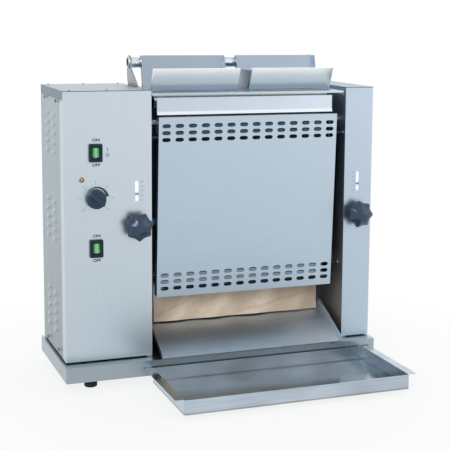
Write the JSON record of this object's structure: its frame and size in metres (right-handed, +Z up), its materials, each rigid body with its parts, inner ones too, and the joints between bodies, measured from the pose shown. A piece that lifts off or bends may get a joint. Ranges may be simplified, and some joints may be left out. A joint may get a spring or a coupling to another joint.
{
  "type": "vertical contact toaster",
  "caption": "Upright contact toaster: buns drop into top funnels, ride down between belts and a heated platen, then slide from a chute into a front tray.",
  "frame": {"origin": "on the floor, below the centre of the object's bounding box", "axes": "+X towards the right-hand housing seen from the front, +Y towards the back, +Z up"},
  "size_m": [0.58, 0.426, 0.5681],
  "materials": {
    "panel_steel": "brushed",
    "side_steel": "brushed",
    "lid_steel": "brushed",
    "base_steel": "brushed",
    "cover_steel": "brushed",
    "bay_steel": "brushed",
    "chute_steel": "brushed",
    "tray_steel": "brushed",
    "feeder_steel": "brushed",
    "arm_steel": "satin",
    "rod_steel": "satin",
    "wall_steel": "dull",
    "conveyor_steel": "satin",
    "roller_aluminium": "turned",
    "platen_aluminium": "cast",
    "gear_steel": "machined",
    "element_steel": "heat-darkened",
    "belt_rubber": "matte",
    "release_cloth": "smooth",
    "foot_rubber": "matte",
    "knob_black": "satin",
    "switch_black": "satin",
    "rocker_green": "translucent",
    "lamp_amber": "translucent",
    "gauge_white": "satin",
    "pointer_black": "satin",
    "motor_grey": "satin",
    "thermostat_grey": "zinc plated",
    "terminal_cream": "matte"
  },
  "bodies": {
    "chassis": {"base_plinth": "base_steel", "bun_deck": "bay_steel", "conveyor_switch_body": "switch_black", "cord_gland": "switch_black", "discharge_chute": "chute_steel", "drive_motor": "motor_grey", "feeder_rod": "rod_steel", "foot_front_left": "foot_rubber", "foot_front_right": "foot_rubber", "foot_rear_left": "foot_rubber", "foot_rear_right": "foot_rubber", "front_release_sheet": "release_cloth", "heat_lamp": "lamp_amber", "heated_platen": "platen_aluminium", "heating_element": "element_steel", "left_front_panel": "panel_steel", "left_gauge_plate": "gauge_white", "left_inner_wall": "wall_steel", "left_rod_arm": "arm_steel", "left_side_cover": "side_steel", "left_top_lid": "lid_steel", "platen_cap": "bay_steel", "power_switch_body": "switch_black", "rear_cover": "bay_steel", "rear_release_sheet": "release_cloth", "right_front_panel": "panel_steel", "right_gauge_plate": "gauge_white", "right_inner_wall": "wall_steel", "right_rod_arm": "arm_steel", "right_side_cover": "side_steel", "right_top_lid": "lid_steel", "terminal_block": "terminal_cream", "thermostat": "thermostat_grey", "upper_band": "bay_steel"},
    "front_cover": {"front_cover": "cover_steel"},
    "feeder": {"feeder_frame": "feeder_steel", "front_flap_left": "feeder_steel", "front_flap_right": "feeder_steel", "rear_chute_plate_left": "feeder_steel", "rear_chute_plate_right": "feeder_steel"},
    "tray": {"discharge_tray": "tray_steel"},
    "power_rocker": {"power_rocker": "rocker_green"},
    "conveyor_rocker": {"conveyor_rocker": "rocker_green"},
    "temperature_dial": {"temperature_dial": "knob_black"},
    "left_star_knob": {"left_star_knob": "knob_black"},
    "right_star_knob": {"right_star_knob": "knob_black"},
    "left_gauge_pointer": {"left_gauge_pointer": "pointer_black"},
    "right_gauge_pointer": {"right_gauge_pointer": "pointer_black"},
    "front_conveyor": {"front_conveyor_frame": "conveyor_steel", "front_belt": "belt_rubber"},
    "rear_conveyor": {"rear_conveyor_frame": "conveyor_steel", "rear_belt": "belt_rubber"},
    "front_drive": {"front_drive_roller": "roller_aluminium", "front_drive_gear": "gear_steel"},
    "rear_drive": {"rear_drive_roller": "roller_aluminium", "rear_drive_gear": "gear_steel"},
    "motor_pinion": {"motor_pinion": "gear_steel"},
    "idler_gear": {"idler_gear": "gear_steel"},
    "front_idler": {"front_idler_roller": "roller_aluminium"},
    "rear_idler": {"rear_idler_roller": "roller_aluminium"}
  },
  "joints": [
    {"name": "front_drive_spin", "type": "hinge", "parent": "chassis", "child": "front_drive", "pos_m": [0.0505, 0.0365, 0.454], "axis": [1, 0, 0], "continuous": true},
    {"name": "rear_drive_spin", "type": "hinge", "parent": "chassis", "child": "rear_drive", "pos_m": [0.0505, 0.1195, 0.454], "axis": [1, 0, 0], "continuous": true},
    {"name": "motor_pinion_spin", "type": "hinge", "parent": "chassis", "child": "motor_pinion", "pos_m": [-0.1595, 0.06325, 0.42991], "axis": [1, 0, 0], "continuous": true},
    {"name": "idler_gear_spin", "type": "hinge", "parent": "chassis", "child": "idler_gear", "pos_m": [-0.1505, 0.09323, 0.4187], "axis": [1, 0, 0], "continuous": true},
    {"name": "front_idler_spin", "type": "hinge", "parent": "front_conveyor", "child": "front_idler", "pos_m": [0.0505, 0.0365, 0.162], "axis": [1, 0, 0], "continuous": true},
    {"name": "rear_idler_spin", "type": "hinge", "parent": "rear_conveyor", "child": "rear_idler", "pos_m": [0.0505, 0.1195, 0.162], "axis": [1, 0, 0], "continuous": true},
    {"name": "left_knob_turn", "type": "hinge", "parent": "chassis", "child": "left_star_knob", "pos_m": [-0.159, 0.001, 0.281], "axis": [0, 1, 0], "range_deg": [-216, 504]},
    {"name": "right_knob_turn", "type": "hinge", "parent": "chassis", "child": "right_star_knob", "pos_m": [0.26, 0.001, 0.281], "axis": [0, 1, 0], "range_deg": [-216, 504]},
    {"name": "front_conveyor_tilt", "type": "hinge", "parent": "chassis", "child": "front_conveyor", "pos_m": [0.0505, 0.0365, 0.454], "axis": [1, 0, 0], "range_deg": [-0.62, 1.42]},
    {"name": "rear_conveyor_tilt", "type": "hinge", "parent": "chassis", "child": "rear_conveyor", "pos_m": [0.0505, 0.1195, 0.454], "axis": [-1, 0, 0], "range_deg": [-0.62, 1.42]},
    {"name": "left_pointer_slide", "type": "slide", "parent": "chassis", "child": "left_gauge_pointer", "axis": [0, 0, 1], "range_m": [-0.0073, 0.0169]},
    {"name": "right_pointer_slide", "type": "slide", "parent": "chassis", "child": "right_gauge_pointer", "axis": [0, 0, 1], "range_m": [-0.0073, 0.0169]},
    {"name": "power_rocker_tilt", "type": "hinge", "parent": "chassis", "child": "power_rocker", "pos_m": [-0.2305, 0.0025, 0.409], "axis": [1, 0, 0], "range_deg": [0, 18]},
    {"name": "conveyor_rocker_tilt", "type": "hinge", "parent": "chassis", "child": "conveyor_rocker", "pos_m": [-0.2305, 0.0025, 0.245], "axis": [1, 0, 0], "range_deg": [0, 18]},
    {"name": "temperature_dial_turn", "type": "hinge", "parent": "chassis", "child": "temperature_dial", "pos_m": [-0.231, 0.001, 0.331], "axis": [0, 1, 0], "range_deg": [0, 270]},
    {"name": "front_cover_lift", "type": "slide", "parent": "chassis", "child": "front_cover", "axis": [0, -0.6428, 0.766], "range_m": [0, 0.12]},
    {"name": "feeder_lift", "type": "slide", "parent": "chassis", "child": "feeder", "axis": [0, 0, 1], "range_m": [0, 0.07]},
    {"name": "tray_slide", "type": "slide", "parent": "chassis", "child": "tray", "axis": [0, -1, 0], "range_m": [0, 0.1]}
  ],
  "couplings": [
    {"joint": "rear_drive_spin", "follows": "front_drive_spin", "ratio": -1},
    {"joint": "motor_pinion_spin", "follows": "front_drive_spin", "ratio": -2},
    {"joint": "idler_gear_spin", "follows": "front_drive_spin", "ratio": 1.2},
    {"joint": "front_idler_spin", "follows": "front_drive_spin", "ratio": 1},
    {"joint": "rear_idler_spin", "follows": "front_drive_spin", "ratio": -1},
    {"joint": "front_conveyor_tilt", "follows": "left_knob_turn", "ratio": 0.0027778},
    {"joint": "rear_conveyor_tilt", "follows": "right_knob_turn", "ratio": 0.0027778},
    {"joint": "left_pointer_slide", "follows": "left_knob_turn", "m_per_rad": 0.0019099},
    {"joint": "right_pointer_slide", "follows": "right_knob_turn", "m_per_rad": 0.0019099}
  ]
}
